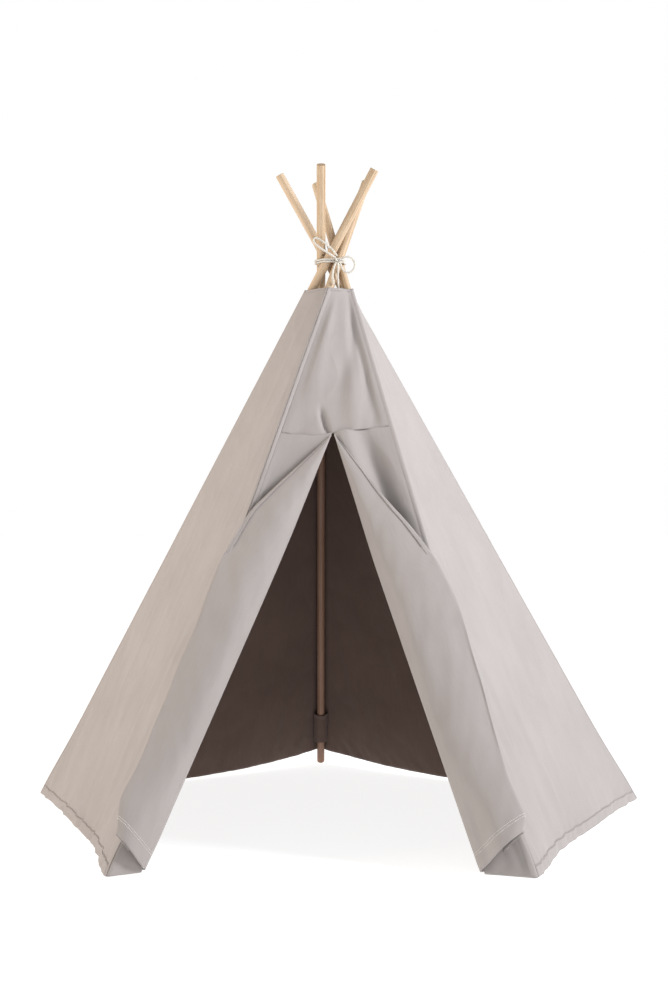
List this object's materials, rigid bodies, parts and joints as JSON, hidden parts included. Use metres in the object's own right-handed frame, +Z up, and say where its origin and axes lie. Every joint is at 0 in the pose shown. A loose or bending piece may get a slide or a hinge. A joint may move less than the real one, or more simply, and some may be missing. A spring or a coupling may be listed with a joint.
{
  "type": "teepee tent",
  "caption": "Play tent of round wooden poles lashed near their tops, with a pointed canvas cover, an open front doorway and two folded-back door flaps.",
  "frame": {"origin": "on the floor, under the middle of the tent's outline", "axes": "+Z up, the doorway faces -Y, +X to the right when facing the doorway"},
  "size_m": [1.5782, 1.5144, 1.6142],
  "materials": {
    "pine": "sanded, unvarnished",
    "canvas": "plain-woven cotton canvas",
    "cotton_cord": "braided cotton"
  },
  "bodies": {
    "back": {"back_pole": "pine", "back_pole_loop": "canvas", "back_corner_seam": "canvas", "left_pole_tie": "cotton_cord", "right_pole_tie": "cotton_cord", "lower_cord_turn": "cotton_cord", "upper_cord_turn": "cotton_cord", "bow_knot": "cotton_cord", "upper_bow_loop": "cotton_cord", "side_bow_loop": "cotton_cord", "left_cord_tail": "cotton_cord", "right_cord_tail": "cotton_cord", "short_cord_end": "cotton_cord"},
    "left": {"left_pole": "pine", "left_pole_loop": "canvas", "left_corner_seam": "canvas", "back_left_panel": "canvas", "front_left_pole_tie": "cotton_cord"},
    "front_left": {"front_left_pole": "pine", "front_left_pole_loop": "canvas", "front_left_corner_seam": "canvas", "left_side_panel": "canvas", "front_top_panel": "canvas", "front_left_panel": "canvas"},
    "right": {"right_pole": "pine", "right_pole_loop": "canvas", "right_corner_seam": "canvas", "back_right_panel": "canvas", "front_right_pole_tie": "cotton_cord"},
    "front_right": {"front_right_pole": "pine", "front_right_pole_loop": "canvas", "front_right_corner_seam": "canvas", "right_side_panel": "canvas", "front_right_panel": "canvas"},
    "left_flap": {"left_door_flap": "canvas"},
    "right_flap": {"right_door_flap": "canvas"}
  },
  "joints": [
    {"name": "left_pole_fold", "type": "hinge", "parent": "back", "child": "left", "pos_m": [-0.02243, -0.05722, 1.388], "axis": [0.5372, -0.726, -0.4294], "range_deg": [0, 31.45], "deforming": ["back_pole_loop", "back_corner_seam", "left_pole_loop", "left_corner_seam", "back_left_panel", "front_left_pole_loop", "front_left_corner_seam", "left_side_panel", "front_top_panel", "front_left_panel", "right_pole_loop", "right_corner_seam", "back_right_panel", "front_right_pole_loop", "front_right_corner_seam", "right_side_panel", "front_right_panel", "left_door_flap", "right_door_flap", "upper_bow_loop", "side_bow_loop", "left_cord_tail", "right_cord_tail", "short_cord_end", "lower_cord_turn", "upper_cord_turn", "bow_knot"]},
    {"name": "front_left_pole_fold", "type": "hinge", "parent": "left", "child": "front_left", "pos_m": [0.00193, -0.06406, 1.388], "axis": [0.8616, 0.3, -0.4094], "range_deg": [0, 35.13], "deforming": ["back_pole_loop", "back_corner_seam", "left_pole_loop", "left_corner_seam", "back_left_panel", "front_left_pole_loop", "front_left_corner_seam", "left_side_panel", "front_top_panel", "front_left_panel", "right_pole_loop", "right_corner_seam", "back_right_panel", "front_right_pole_loop", "front_right_corner_seam", "right_side_panel", "front_right_panel", "left_door_flap", "right_door_flap", "upper_bow_loop", "side_bow_loop", "left_cord_tail", "right_cord_tail", "short_cord_end", "lower_cord_turn", "upper_cord_turn", "bow_knot"]},
    {"name": "right_pole_fold", "type": "hinge", "parent": "back", "child": "right", "pos_m": [-0.02151, -0.03177, 1.388], "axis": [0.5515, 0.7292, 0.4051], "range_deg": [0, 35.84], "deforming": ["back_pole_loop", "back_corner_seam", "left_pole_loop", "left_corner_seam", "back_left_panel", "front_left_pole_loop", "front_left_corner_seam", "left_side_panel", "front_top_panel", "front_left_panel", "right_pole_loop", "right_corner_seam", "back_right_panel", "front_right_pole_loop", "front_right_corner_seam", "right_side_panel", "front_right_panel", "left_door_flap", "right_door_flap", "upper_bow_loop", "side_bow_loop", "left_cord_tail", "right_cord_tail", "short_cord_end", "lower_cord_turn", "upper_cord_turn", "bow_knot"]},
    {"name": "front_right_pole_fold", "type": "hinge", "parent": "right", "child": "front_right", "pos_m": [0.00348, -0.02475, 1.388], "axis": [0.8341, -0.3601, 0.418], "range_deg": [0, 33.65], "deforming": ["back_pole_loop", "back_corner_seam", "left_pole_loop", "left_corner_seam", "back_left_panel", "front_left_pole_loop", "front_left_corner_seam", "left_side_panel", "front_top_panel", "front_left_panel", "right_pole_loop", "right_corner_seam", "back_right_panel", "front_right_pole_loop", "front_right_corner_seam", "right_side_panel", "front_right_panel", "left_door_flap", "right_door_flap", "upper_bow_loop", "side_bow_loop", "left_cord_tail", "right_cord_tail", "short_cord_end", "lower_cord_turn", "upper_cord_turn", "bow_knot"]},
    {"name": "left_flap_swing", "type": "hinge", "parent": "front_left", "child": "left_flap", "pos_m": [-0.18311, -0.51829, 0.47919], "axis": [0.3427, 0.422, 0.8393], "range_deg": [0, 160]},
    {"name": "right_flap_swing", "type": "hinge", "parent": "front_right", "child": "right_flap", "pos_m": [0.17464, -0.51457, 0.47924], "axis": [0.3008, -0.4231, -0.8547], "range_deg": [0, 160]}
  ],
  "couplings": [
    {"joint": "front_left_pole_fold", "follows": "left_pole_fold", "ratio": 1.1165},
    {"joint": "right_pole_fold", "follows": "left_pole_fold", "ratio": 1.1391},
    {"joint": "front_right_pole_fold", "follows": "left_pole_fold", "ratio": 1.0693}
  ]
}
